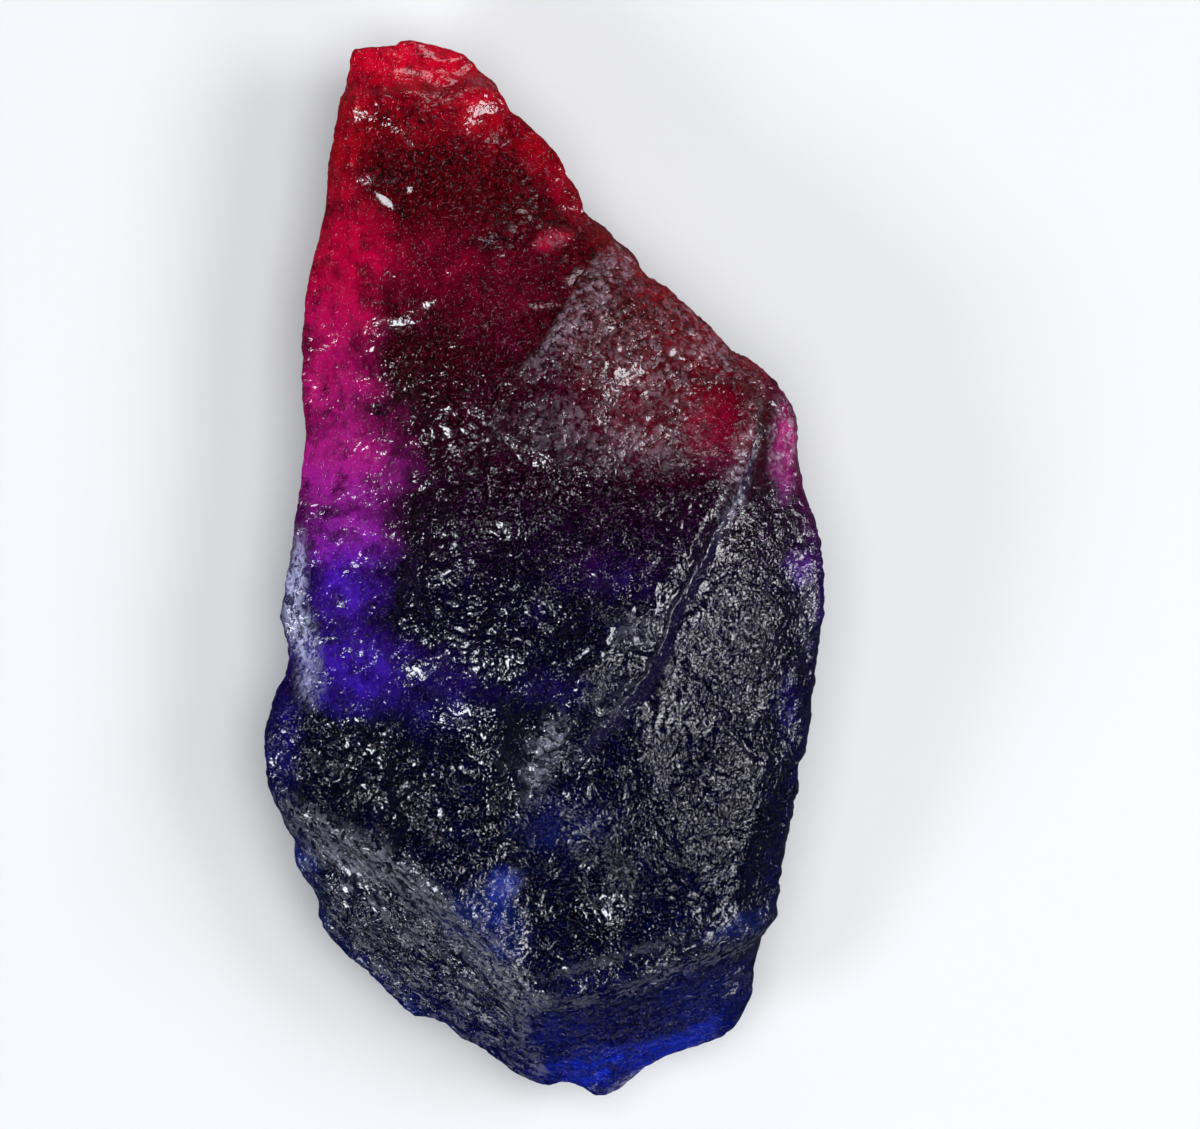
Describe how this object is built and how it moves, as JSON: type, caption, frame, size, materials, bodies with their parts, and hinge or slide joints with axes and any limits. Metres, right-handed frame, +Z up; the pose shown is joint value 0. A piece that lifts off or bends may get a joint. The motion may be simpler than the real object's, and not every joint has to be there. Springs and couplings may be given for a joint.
{
  "type": "rough gemstone",
  "caption": "Rough bicolour sapphire, a long broken wedge of corundum, red at its thin tip and blue at its foot, lying on a flat parting face.",
  "frame": {"origin": "middle of the stone's footprint, on the flat parting face that it lies on", "axes": "+Z up out of the broken upper face, +Y along the stone from its blue foot to its red tip, +X towards the thick side"},
  "size_m": [0.0554, 0.1056, 0.0288],
  "materials": {
    "sapphire": "natural fracture, waxy to glassy, translucent at thin edges"
  },
  "bodies": {
    "root": {"crystal": "sapphire"}
  },
  "joints": []
}
